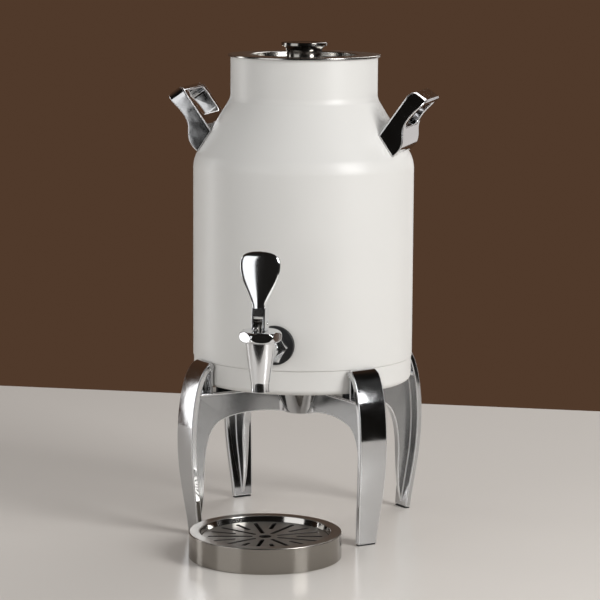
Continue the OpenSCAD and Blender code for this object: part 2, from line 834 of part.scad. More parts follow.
module tap_body()
    color(chrome)
        difference() {
            union() {
                at_tap()
                    rotate_extrude()
                        polygon(concat(
                            [[0, tap_z - spout_drop]],
                            rounded([0, tap_z - spout_drop], [spout_r, tap_z - spout_drop],
                                [spout_r, tap_z], 0.8),
                            curve(body_curve, 10),
                            [[thread_r, bonnet_z], [thread_r, ceiling_z - seat_gap],
                                [0, ceiling_z - seat_gap]]));
                on_shank(shank_end_y)
                    cylinder(r = shank_r, h = shank_end_y - tap_y);
                on_shank(nut_face_y)
                    cylinder(r = shank_r + 1.4, h = nut_face_y - tap_y);
            }
            at_tap() {
                translate([0, 0, tap_z - spout_drop - 1])
                    cylinder(r = spout_bore_r, h = spout_drop);
                translate([0, 0, seat_z])
                    cylinder(r = chamber_r, h = bonnet_h + spout_drop);
            }
            on_shank(shank_end_y + 1)
                cylinder(r = shank_bore_r, h = shank_end_y + 1 - tap_y);
        }

module inner_washer()
    color(silicone)
        intersection() {
            on_shank(lock_face_y)
                difference() {
                    cylinder(r = lock_nut_af / 2 + 1.5, h = inner_washer_t + 1);
                    translate([0, 0, -1])
                        cylinder(r = shank_r + seat_gap, h = inner_washer_t + 3);
                }
            cylinder(r = -tank_face_y - seat_gap / 2, h = mouth_z, $fn = 360);
        }

module lock_nut()
    color(steel)
        on_shank(lock_face_y + lock_nut_len)
            rotate([0, 0, 30])
                hexagon(lock_nut_af, lock_nut_len, shank_r + seat_gap, 0.8);

module bonnet() {
    corner_r = bonnet_af / 2 / cos(30);
    color(chrome)
        at_tap()
            translate([0, 0, bonnet_z])
                difference() {
                    intersection() {
                        rotate([0, 0, bonnet_turn])
                            cylinder(r = corner_r, h = bonnet_h, $fn = 6);
                        rotate_extrude()
                            polygon(concat(
                                [[0, 0]],
                                curve([[corner_r - 4, 0], [corner_r - 1.5, 1.2], [corner_r - 0.6, 3],
                                    [corner_r - 0.6, bonnet_h / 2]], 5),
                                curve([[corner_r - 0.6, bonnet_h / 2], [corner_r - 0.6, bonnet_h - 3],
                                    [corner_r - 1.5, bonnet_h - 1], [corner_r - 5, bonnet_h]], 5, 1),
                                [[0, bonnet_h]]));
                    }
                    translate([0, 0, -1])
                        cylinder(r = thread_r + seat_gap, h = bonnet_h - bonnet_top_t + 1);
                    cylinder(r = spindle_r + running_gap, h = bonnet_h + 1);
                }
}

module spindle()
    color(steel)
        at_tap()
            difference() {
                union() {
                    translate([0, 0, cup_z + 2])
                        cylinder(r = 2, h = plate_z - cup_z);
                    translate([0, 0, plate_z])
                        cylinder(r = plate_r, h = plate_t);
                    translate([0, 0, plate_z])
                        cylinder(r = spindle_r, h = pivot_z - plate_z - pin_r);
                    translate([-eye_half_t, 0, pivot_z])
                        rotate([0, 90, 0])
                            cylinder(r = eye_r, h = 2 * eye_half_t);
                }
                translate([0, 0, pivot_z])
                    rotate([0, 90, 0])
                        cylinder(r = pin_r + running_gap, h = 3 * spindle_r, center = true);
                for (side = [-1, 1])
                    translate([side * (eye_half_t + 2) - 2, -spindle_r - 1, bonnet_top_z - lift])
                        cube([4, 2 * spindle_r + 2, pivot_z]);
            }

module seat_cup()
    color(silicone)
        at_tap()
            difference() {
                translate([0, 0, cup_z])
                    rotate_extrude()
                        polygon([[0, 0], [cup_r - 1, 0], [cup_r, 1], [cup_r, 3], [cup_r - 1, 4.5],
                            [plate_r - 0.4, plate_z - cup_z - 0.02], [0, plate_z - cup_z - 0.02]]);
                translate([0, 0, cup_z + 2])
                    cylinder(r = 2 + 0.05, h = plate_z);
            }

// Coil spring swept as one closed tube
module return_spring() {
    low = plate_z + plate_t + wire_d / 2 + 0.1;
    high = ceiling_z - wire_d / 2 - 0.1;
    sides = 8;
    steps = 14 * spring_turns;
    rise = (high - low) / steps;
    rings = [for (i = [0:steps], k = [0:sides - 1])
        let (a = 360 * spring_turns * i / steps, b = 360 * k / sides, r = spring_r + wire_d / 2 * cos(b))
        [r * cos(a), r * sin(a), low + rise * i + wire_d / 2 * sin(b)]];
    walls = [for (i = [0:steps - 1], k = [0:sides - 1])
        let (n = (k + 1) % sides)
        [i * sides + k, i * sides + n, (i + 1) * sides + n, (i + 1) * sides + k]];
    ends = [[for (k = [sides - 1:-1:0]) k], [for (k = [0:sides - 1]) steps * sides + k]];
    color(steel)
        at_tap()
            polyhedron(rings, concat(walls, ends));
}

// Point of the cam heel that touches the bonnet when the lever stands at angle a
function heel_at(a) =
    let (p = heel_h + cam_r * a * PI / 180)
    [-p * sin(a) - cam_r * cos(a), -p * cos(a) + cam_r * sin(a)];

// Side view of the lever, drawn as (away from the user, up) from the pivot
module lever_side() {
    toe = heel_at(lever_travel + 3);
    back = 6.5;
    polygon(concat(
        [[back - 1.5, -heel_h]],
        [for (i = [0:8]) heel_at((lever_travel + 3) * i / 8)],
        [[toe[0], toe[1] + 2]],
        curve([[toe[0], toe[1] + 3], [toe[0], block_h - 8], [-paddle_half_t - 4, block_h - 4],
            [-paddle_half_t - 2, block_h + 6]], 5),
        [[-paddle_half_t - 2, paddle_top_h + 1], [paddle_half_t - 2, paddle_top_h + 1],
            [paddle_half_t - 2, block_h + 6]],
        curve([[paddle_half_t - 2, block_h + 4], [paddle_half_t - 1.5, block_h], [back, block_h],
            [back, block_h - 6]], 4),
        [[back, -heel_h + 1.5]]));
}

// Front view of the paddle, a rounded drop on a narrow neck
module paddle_front() {
    neck = block_w / 2 + 0.4;
    below = paddle_wide_h - block_h;
    above = paddle_top_h - paddle_wide_h;
    side = concat(
        curve([[neck, block_h - 1], [neck + 1, block_h + 0.19 * below],
            [paddle_half_w, block_h + 0.53 * below], [paddle_half_w, paddle_wide_h]], 12),
        curve([[paddle_half_w, paddle_wide_h], [paddle_half_w, paddle_wide_h + 0.58 * above],
            [0.78 * paddle_half_w, paddle_top_h], [0.5, paddle_top_h]], 12, 1));
    polygon(concat(side, backwards([for (p = side) [-p[0], p[1]]])));
}

module lever()
    color(chrome)
        at_tap()
            translate([0, 0, pivot_z])
                difference() {
                    intersection() {
                        across(-paddle_half_w - 1, paddle_half_w + 1)
                            lever_side();
                        union() {
                            upright(60)
                                paddle_front();
                            translate([-block_w / 2, -30, -heel_h - 10])
                                cube([block_w, 60, block_h + heel_h + 10]);
                        }
                        union() {
                            for (side = [-1, 1])
                                intersection() {
                                    translate([0, side * (lens_r - paddle_half_t) - 2, 0])
                                        cylinder(r = lens_r, h = paddle_top_h + 5, $fn = 200);
                                    translate([-30, side < 0 ? -2 : -32, 0])
                                        cube([60, 30, paddle_top_h + 5]);
                                }
                            translate([-30, -30, -heel_h - 10])
                                cube([60, 60, block_h + heel_h + 12]);
                        }
                    }
                    translate([-slot_half, -30, -heel_h - 10])
                        cube([2 * slot_half, 60, heel_h + 10 + slot_top]);
                    rotate([0, 90, 0])
                        cylinder(r = pin_r, h = 2 * block_w, center = true);
                }

module pivot_pin()
    color(steel)
        at_tap()
            translate([0, 0, pivot_z])
                rotate([0, 90, 0])
                    cylinder(r = pin_r, h = block_w - 1, center = true);

// ---------- lid ----------

module lid_top()
    color(steel)
        difference() {
            rotate_extrude()
                polygon(concat(
                    [[0, dish_z - lid_t], [dish_r + lid_t, dish_z - lid_t], [dish_r + lid_t, lid_z],
                        [neck_r + 0.9, lid_z], [neck_r + 0.9, lid_top_z - hem_h + 0.1]],
                    rounded([neck_r, lid_top_z - hem_h], [lid_r, lid_top_z - hem_h], [lid_r, lid_top_z],
                        0.6, 3),
                    rounded([lid_r, lid_top_z - hem_h], [lid_r, lid_top_z], [0, lid_top_z], 0.9, 3),
                    rounded([lid_r, lid_top_z], [dish_r, lid_top_z], [dish_r, dish_z], 1, 3),
                    rounded([dish_r, lid_top_z], [dish_r, dish_z], [0, dish_z], 1.5, 3),
                    [[0, dish_z]]));
            translate([0, 0, dish_z - lid_t - 1])
                cylinder(r = knob_screw_r + seat_gap, h = lid_t + 2);
        }

module lid_inner_pan()
    color(steel)
        rotate_extrude()
            polygon(concat(
                [[0, plug_z]],
                rounded([0, plug_z], [plug_r, plug_z], [plug_r, lid_z], 3),
                [[plug_r, lid_z], [plug_r - tank_t, lid_z]],
                rounded([plug_r - tank_t, lid_z], [plug_r - tank_t, plug_z + tank_t],
                    [0, plug_z + tank_t], 2),
                [[0, plug_z + tank_t]]));

module lid_seal() {
    out = plug_gap - seal_gap;
    low = lid_z - plug_h / 2 - seal_h / 2;
    color(silicone)
        rotate_extrude()
            polygon([[plug_r, low], [plug_r + out, low + 1], [plug_r + out, low + 3],
                [plug_r + 0.4, low + 4], [plug_r + 0.4, low + seal_h - 4],
                [plug_r + out, low + seal_h - 3], [plug_r + out, low + seal_h - 1],
                [plug_r, low + seal_h]]);
}

module lid_knob() {
    top = dish_z + knob_h;
    flare = top - knob_edge - 1;
    color(steel)
        difference() {
            rotate_extrude()
                polygon(concat(
                    [[0, dish_z], [knob_waist_r + 0.6, dish_z]],
                    curve([[knob_waist_r + 0.6, dish_z], [knob_waist_r - 1, flare - 7],
                        [knob_waist_r - 0.5, flare - 1], [knob_r - 1, flare - 0.5]], 10),
                    rounded([knob_r - 1, flare - 0.5], [knob_r, flare], [knob_r, top], 0.5, 2),
                    rounded([knob_r, flare], [knob_r, top - 1], [knob_r - 5, top], 0.9, 3),
                    [[knob_r - 5, top - 0.2], [knob_r - 8, top - 0.6], [0, top - 0.6]]));
            translate([0, 0, dish_z - 1])
                cylinder(r = knob_screw_r, h = knob_h / 2 + 1);
        }
}

module knob_screw()
    color(steel)
        translate([0, 0, dish_z - lid_t])
            difference() {
                union() {
                    cylinder(r = knob_screw_r - seat_gap / 2, h = lid_t + knob_h / 2 - 1);
                    translate([0, 0, -1])
                        cylinder(r = 3 * knob_screw_r, h = 1);
                    translate([0, 0, -4])
                        cylinder(r = 1.8 * knob_screw_r, h = 3.1);
                }
                translate([0, 0, -5])
                    cylinder(d = 3.4, h = 3, $fn = 6);
            }

// ---------- drip tray ----------

module drip_tray() {
    in_r = tray_r - tray_rim_w;
    floor_z = 1.5;
    ledge_z = grille_z - grille_t;
    color(steel)
        translate([tray_side, -tray_out, 0])
            rotate_extrude()
                polygon(concat(
                    [[0, floor_z], [tray_r - 4, floor_z], [tray_r - 3, 0]],
                    rounded([0, 0], [tray_r, 0], [tray_r, tray_h], 1),
                    rounded([tray_r, 0], [tray_r, tray_h], [in_r, tray_h], 1.2),
                    rounded([tray_r, tray_h], [in_r, tray_h], [in_r - tray_t, grille_z], 1.2),
                    [[in_r - tray_t, grille_z + 1.5], [in_r - tray_t, ledge_z],
                        [in_r - tray_t - ledge_w, ledge_z],
                        [in_r - tray_t - ledge_w, ledge_z - tray_t], [in_r, ledge_z - tray_t],
                        [in_r + 0.6, tray_h - tray_t], [tray_r - tray_t, tray_h - tray_t],
                        [tray_r - tray_t, floor_z + tray_t], [0, floor_z + tray_t]]));
}

// One radial slot with round ends, from radius r0 to radius r1
module slot(r0, r1) {
    translate([r0, -slot_w / 2])
        square([r1 - r0, slot_w]);
    for (r = [r0, r1])
        translate([r, 0])
            circle(d = slot_w, $fn = 24);
}

module grille() {
    step = 180 / slot_pairs;
    far = grille_r - ledge_w - slot_w;
    color(satin)
        translate([tray_side, -tray_out, grille_z - grille_t])
            linear_extrude(grille_t)
                difference() {
                    circle(r = grille_r);
                    circle(r = finger_r);
                    for (i = [0:slot_pairs - 1]) {
                        rotate(grille_turn + 2 * i * step)
                            slot(2.3 * finger_r, far);
                        rotate(grille_turn + (2 * i + 1) * step)
                            slot(0.6 * far, far);
                    }
                }
}

hub();
leg(leg_turn[0]);  // leg_front_right
leg(leg_turn[1]);  // leg_back_right
leg(leg_turn[2]);  // leg_back_left
leg(leg_turn[3]);  // leg_front_left
hub_screws();
foot_pads();
can_rests();
base_pan();
outer_shell();
inner_tank();
tank_shoulder();
tank_neck();
insulation();
handle_right();
handle_left();
handle_screws();
tap_washer();
shank_nut();
tap_body();
inner_washer();
lock_nut();
bonnet();
return_spring();
spindle();
seat_cup();
lever();
pivot_pin();
lid_top();
lid_inner_pan();
lid_seal();
lid_knob();
knob_screw();
drip_tray();
grille();
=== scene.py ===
"""Hot water urn: its visible surfaces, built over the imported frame, and a plain studio."""
import logging
import math
from dataclasses import dataclass, field
from enum import Enum
from typing import Callable, Iterable, Sequence

import bmesh
import bpy
from mathutils import Matrix, Vector
from mathutils.geometry import interpolate_bezier


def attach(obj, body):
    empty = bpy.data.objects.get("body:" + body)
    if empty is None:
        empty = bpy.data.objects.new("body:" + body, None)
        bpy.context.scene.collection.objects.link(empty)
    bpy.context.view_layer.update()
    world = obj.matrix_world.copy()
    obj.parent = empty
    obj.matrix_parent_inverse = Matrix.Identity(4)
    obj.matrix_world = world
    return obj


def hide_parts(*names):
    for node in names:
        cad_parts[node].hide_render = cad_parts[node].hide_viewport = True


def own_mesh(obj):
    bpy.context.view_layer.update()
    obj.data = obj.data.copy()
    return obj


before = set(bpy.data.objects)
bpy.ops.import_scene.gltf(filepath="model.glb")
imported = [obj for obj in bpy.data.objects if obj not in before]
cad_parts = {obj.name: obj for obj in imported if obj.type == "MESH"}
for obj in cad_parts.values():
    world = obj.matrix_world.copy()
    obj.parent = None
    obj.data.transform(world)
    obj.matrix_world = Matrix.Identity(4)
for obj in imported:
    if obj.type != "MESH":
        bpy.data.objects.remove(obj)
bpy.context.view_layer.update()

MM = 0.001
LOG = logging.getLogger("urn")

Triple = tuple[float, float, float]
Corner = tuple[float, float, float]     # X, Z and the radius of its rounding
Point = tuple[float, float]

# Faces round a full circle: of the can, lid and tray, of the knob and tap, and of thin parts.
WIDE, NARROW, SLIM = 192, 128, 96


# ---------------------------------------------------------------- finishes


class Grain(Enum):
    """Way in which the fine lines of a worked surface run."""

    NONE = "no lines"
    AROUND = "round the upright axis"
    TURNED = "in rings, as a lathe leaves them"
    OUTWARD = "outward from the upright axis"


class Graph:
    """Node tree, with short ways to add nodes and join them."""

    def __init__(self, tree: bpy.types.NodeTree) -> None:
        """Empties the tree.

        Args:
            tree: the tree of a material or of the world.
        """
        self.tree = tree
        self.tree.nodes.clear()

    def add(self, kind: str, **settings: object) -> bpy.types.Node:
        """Adds a node.

        Args:
            kind: Blender's name for the node's type.
            **settings: properties to set on it.

        Returns:
            The new node.
        """
        node = self.tree.nodes.new(kind)
        for key, value in settings.items():
            setattr(node, key, value)
        return node

    def join(self, source: object, target: bpy.types.NodeSocket) -> None:
        """Feeds a socket from another socket, or sets it to a plain value.

        Args:
            source: the other socket or the value.
            target: the socket that is fed.
        """
        if isinstance(source, bpy.types.NodeSocket):
            self.tree.links.new(source, target)
        else:
            target.default_value = source

    def math(self, operation: str, a: object, b: object = 0.0) -> bpy.types.NodeSocket:
        """Adds a node that works out one value from two.

        Args:
            operation: Blender's name for the operation.
            a: first value or socket.
            b: second value or socket.

        Returns:
            The socket that holds the result.
        """
        node = self.add("ShaderNodeMath", operation=operation)
        self.join(a, node.inputs[0])
        self.join(b, node.inputs[1])
        return node.outputs[0]

    def mix(self, factor: bpy.types.NodeSocket, a: object, b: object) -> bpy.types.NodeSocket:
        """Blends two colours.

        Args:
            factor: share of the second colour, from 0 to 1.
            a: first colour or socket.
            b: second colour or socket.

        Returns:
            The socket that holds the blend.
        """
        node = self.add("ShaderNodeMix", data_type="RGBA")
        for source, key in ((factor, "Factor"), (a, "A"), (b, "B")):
            self.join(source, node.inputs[key])
        return node.outputs["Result"]

    def noise(self, vector: bpy.types.NodeSocket, scale: float, detail: float) -> bpy.types.NodeSocket:
        """Adds a noise pattern.

        Args:
            vector: coordinates that it reads.
            scale: features to a unit of those coordinates.
            detail: octaves of finer noise.

        Returns:
            The socket that holds the pattern, about 0.5 on average.
        """
        node = self.add("ShaderNodeTexNoise")
        self.join(vector, node.inputs["Vector"])
        node.inputs["Scale"].default_value = scale
        node.inputs["Detail"].default_value = detail
        return node.outputs["Fac"]

    def span(self, source: bpy.types.NodeSocket, low: float, high: float,
             near: float = 0.3, far: float = 0.7) -> bpy.types.NodeSocket:
        """Maps a pattern onto a range.

        Args:
            source: the pattern.
            low: value where the pattern is at near.
            high: value where the pattern is at far.
            near: lower end of the pattern's range.
            far: upper end of the pattern's range.

        Returns:
            The socket that holds the mapped value.
        """
        node = self.add("ShaderNodeMapRange")
        self.join(source, node.inputs["Value"])
        for key, value in (("From Min", near), ("From Max", far), ("To Min", low), ("To Max", high)):
            node.inputs[key].default_value = value
        return node.outputs["Result"]


class Coat(Graph):
    """Node tree of one material, with its shader and its output."""

    ALONG = 25.0    # changes to a metre along a line that runs outwards
    ROUND = 2.5     # changes to a radian along a line that runs round

    def __init__(self, name: str) -> None:
        """Starts the material.

        Args:
            name: name of the material.
        """
        self.material = bpy.data.materials.new(name)
        self.material.use_nodes = True
        super().__init__(self.material.node_tree)
        self.shader = self.add("ShaderNodeBsdfPrincipled")
        self.join(self.shader.outputs["BSDF"], self.add("ShaderNodeOutputMaterial").inputs["Surface"])
        self.place = self.add("ShaderNodeTexCoord").outputs["Object"]

    def lines(self, grain: Grain, size: float, centre: Point) -> bpy.types.NodeSocket:
        """Makes coordinates in which noise is drawn out into the lines of a grain.

        Args:
            grain: way the lines run.
            size: width of a line, in millimetres.
            centre: axis that the lines run round, as X and Y in millimetres.

        Returns:
            The socket that holds the coordinates.
        """
        moved = self.add("ShaderNodeVectorMath", operation="SUBTRACT")
        self.join(self.place, moved.inputs[0])
        moved.inputs[1].default_value = (centre[0] * MM, centre[1] * MM, 0.0)
        split = self.add("ShaderNodeSeparateXYZ")
        self.join(moved.outputs[0], split.inputs[0])
        x, y, z = split.outputs
        flat = self.add("ShaderNodeCombineXYZ")
        self.join(x, flat.inputs[0])
        self.join(y, flat.inputs[1])
        reach = self.add("ShaderNodeVectorMath", operation="LENGTH")
        self.join(flat.outputs[0], reach.inputs[0])
        radius = reach.outputs["Value"]
        way = self.add("ShaderNodeVectorMath", operation="NORMALIZE")
        self.join(flat.outputs[0], way.inputs[0])
        fine = 1.0 / (size * MM)
        whole = self.add("ShaderNodeCombineXYZ")
        if grain in (Grain.AROUND, Grain.TURNED):
            round_about = self.add("ShaderNodeSeparateXYZ")
            self.join(way.outputs[0], round_about.inputs[0])
            for axis in (0, 1):
                self.join(self.math("MULTIPLY", round_about.outputs[axis], self.ROUND), whole.inputs[axis])
            across = z if grain is Grain.AROUND else radius
            self.join(self.math("MULTIPLY", across, fine), whole.inputs[2])
        else:
            self.join(self.math("MULTIPLY", radius, self.ALONG), whole.inputs[0])
            self.join(self.math("MULTIPLY", z, fine), whole.inputs[2])
        return whole.outputs[0]

    def bump(self, height: bpy.types.NodeSocket, depth: float,
             under: bpy.types.NodeSocket | None = None) -> bpy.types.NodeSocket:
        """Adds a bump of a given depth, over another one where there is one.

        Args:
            height: the pattern that raises the surface.
            depth: height of the bump, in millimetres.
            under: the other bump.

        Returns:
            The socket that holds the bent normal.
        """
        node = self.add("ShaderNodeBump")
        node.inputs["Strength"].default_value = 1.0
        node.inputs["Distance"].default_value = depth * MM
        self.join(height, node.inputs["Height"])
        if under is not None:
            self.join(under, node.inputs["Normal"])
        return node.outputs["Normal"]


@dataclass(frozen=True)
class Finish:
    """Look of one worked surface, from which its material is made.

    Attributes:
        name: name of the material.
        colour: linear colour.
        roughness: middle of the range of roughness.
        spread: half of that range.
        metallic: 1 for bare metal, 0 for paint, rubber and the like.
        mottle: how far the colour varies.
        patch: size of the patches in which it varies, in millimetres.
        peel: size of the bumps of the surface, in millimetres.
        peel_depth: height of those bumps, in millimetres.
        grain: way the lines of the finish run.
        grain_size: width of those lines, in millimetres.
        grain_depth: depth of those lines, in millimetres.
        centre: axis that the lines run round, in millimetres.
        smear: size of the smears in the roughness, as a share of a patch.
        streak: how far the lines change the roughness, as a share of its spread.
    """

    name: str
    colour: Triple
    roughness: float
    spread: float = 0.03
    metallic: float = 1.0
    mottle: float = 0.03
    patch: float = 30.0
    peel: float = 1.0
    peel_depth: float = 0.0
    grain: Grain = Grain.NONE
    grain_size: float = 0.35
    grain_depth: float = 0.0
    centre: Point = (0.0, 0.0)
    smear: float = 0.35
    streak: float = 0.6

    def material(self) -> bpy.types.Material:
        """Makes the material, once for each finish.

        Returns:
            The material.
        """
        made = bpy.data.materials.get(self.name)
        if made:
            return made
        coat = Coat(self.name)
        shader = coat.shader.inputs
        shader["Metallic"].default_value = self.metallic
        patches = coat.span(coat.noise(coat.place, 1.0 / (self.patch * MM), 5.0), 0.0, 1.0)
        coat.join(coat.mix(patches, self._shade(1.0 - self.mottle), self._shade(1.0 + self.mottle)),
                  shader["Base Color"])
        smears = coat.noise(coat.place, 1.0 / (self.patch * self.smear * MM), 6.0)
        rough = coat.span(smears, self.roughness - self.spread, self.roughness + self.spread)
        normal = coat.bump(coat.noise(coat.place, 1.0 / (self.peel * MM), 2.0), self.peel_depth)
        if self.grain is not Grain.NONE:
            streaks = coat.noise(coat.lines(self.grain, self.grain_size, self.centre), 1.0, 4.0)
            change = self.streak * self.spread
            rough = coat.math("ADD", rough, coat.span(streaks, -change, change))
            normal = coat.bump(streaks, self.grain_depth, normal)
        coat.join(rough, shader["Roughness"])
        coat.join(normal, shader["Normal"])
        return coat.material

    def _shade(self, factor: float) -> tuple[float, float, float, float]:
        """Colour made lighter or darker by a factor, and opaque."""
        return (*(min(1.0, part * factor) for part in self.colour), 1.0)


TRAY_CENTRE: Point = (3.0, -162.6)

ENAMEL = Finish("satin_enamel", (0.735, 0.72, 0.69), 0.36, 0.03, 0.0, 0.008, 80.0, 0.9, 0.003,
                Grain.AROUND, 1.6, 0.006)
CHROME = Finish("chrome", (0.66, 0.66, 0.67), 0.045, 0.015, 1.0, 0.01, 25.0, 9.0, 0.004)
CAST_CHROME = Finish("polished_casting", (0.57, 0.575, 0.585), 0.065, 0.02, 1.0, 0.015, 25.0, 14.0, 0.02)
# Rounded edges of handles and legs: chrome made lighter and rougher than the chrome beside it, a painted
# highlight along the edges.
EDGE_HIGHLIGHT = Finish("edge_painted_highlight", (0.80, 0.80, 0.81), 0.34, 0.03, 1.0, 0.01, 20.0, 3.0, 0.003)
SATIN_CAST = Finish("satin_casting", (0.40, 0.405, 0.41), 0.21, 0.03, 1.0, 0.015, 45.0, 1.2, 0.001,
                    Grain.OUTWARD, 0.9, 0.006)
STEEL = Finish("turned_steel", (0.50, 0.485, 0.46), 0.20, 0.03, 1.0, 0.015, 45.0, 2.0, 0.0006,
               Grain.TURNED, 0.4, 0.002)
MIRROR = Finish("mirror_steel", (0.56, 0.545, 0.52), 0.09, 0.02, 1.0, 0.02, 30.0, 12.0, 0.003,
                Grain.TURNED, 0.5, 0.0006)
# Brushed steel of the tray's side, darker than such steel is: painted shade for the shaded table that the
# side mirrors.
SHADED_TRAY_SIDE = Finish("brushed_steel_painted_shade", (0.31, 0.29, 0.262), 0.15, 0.02, 1.0, 0.015, 60.0, 2.0, 0.0005,
                   Grain.AROUND, 0.4, 0.003, TRAY_CENTRE)
TRAY_RIM = Finish("satin_rim", (0.46, 0.44, 0.41), 0.30, 0.015, 1.0, 0.015, 50.0, 1.0, 0.0003,
                  Grain.TURNED, 0.5, 0.0015, TRAY_CENTRE)
GRILLE_STEEL = Finish("satin_plate", (0.40, 0.385, 0.36), 0.42, 0.02, 1.0, 0.02, 30.0, 1.0, 0.0004,
                      Grain.TURNED, 0.6, 0.0015, TRAY_CENTRE)
# Near-black steel on the upright faces of the grille, its slot walls and rim: painted shade for the dark
# inside of the slots.
SLOT_SHADE = Finish("slot_walls_painted_shade", (0.10, 0.095, 0.09), 0.5, 0.05, 1.0, 0.05, 4.0, 0.5, 0.002)
# Turned steel made darker than the lid's steel, for the knob and the spindle: painted shade.
SHADED_STEEL = Finish("turned_steel_painted_shade", (0.31, 0.295, 0.275), 0.15, 0.02, 1.0, 0.015, 30.0, 2.0, 0.0004,
                    Grain.TURNED, 0.4, 0.001)
SHEET = Finish("plain_sheet", (0.60, 0.59, 0.58), 0.26, 0.03, 1.0, 0.02, 40.0, 1.5, 0.0004,
               Grain.AROUND, 0.5, 0.001)
FASTENER = Finish("fastener_steel", (0.58, 0.58, 0.58), 0.24, 0.06, 1.0, 0.05, 4.0, 0.6, 0.003)
RUBBER = Finish("black_rubber", (0.009, 0.009, 0.0095), 0.5, 0.08, 0.0, 0.15, 8.0, 0.5, 0.012)
SILICONE = Finish("silicone", (0.62, 0.60, 0.55), 0.42, 0.06, 0.0, 0.03, 8.0, 0.8, 0.006)
FOAM = Finish("insulating_foam", (0.66, 0.58, 0.36), 0.85, 0.05, 0.0, 0.12, 10.0, 1.6, 0.25)


# ---------------------------------------------------------------- modelling


def curve(start: Point, first: Point, second: Point, end: Point, steps: int) -> list[Corner]:
    """Draws a curve as a run of corners without rounding.

    Args:
        start: X and Z of its start.
        first: handle that the curve leaves its start towards.
        second: handle that the curve comes to its end from.
        end: X and Z of its end.
        steps: points on it.

    Returns:
        The corners.
    """
    points = interpolate_bezier(*(Vector(point) for point in (start, first, second, end)), steps)
    return [(point.x, point.y, 0.0) for point in points]


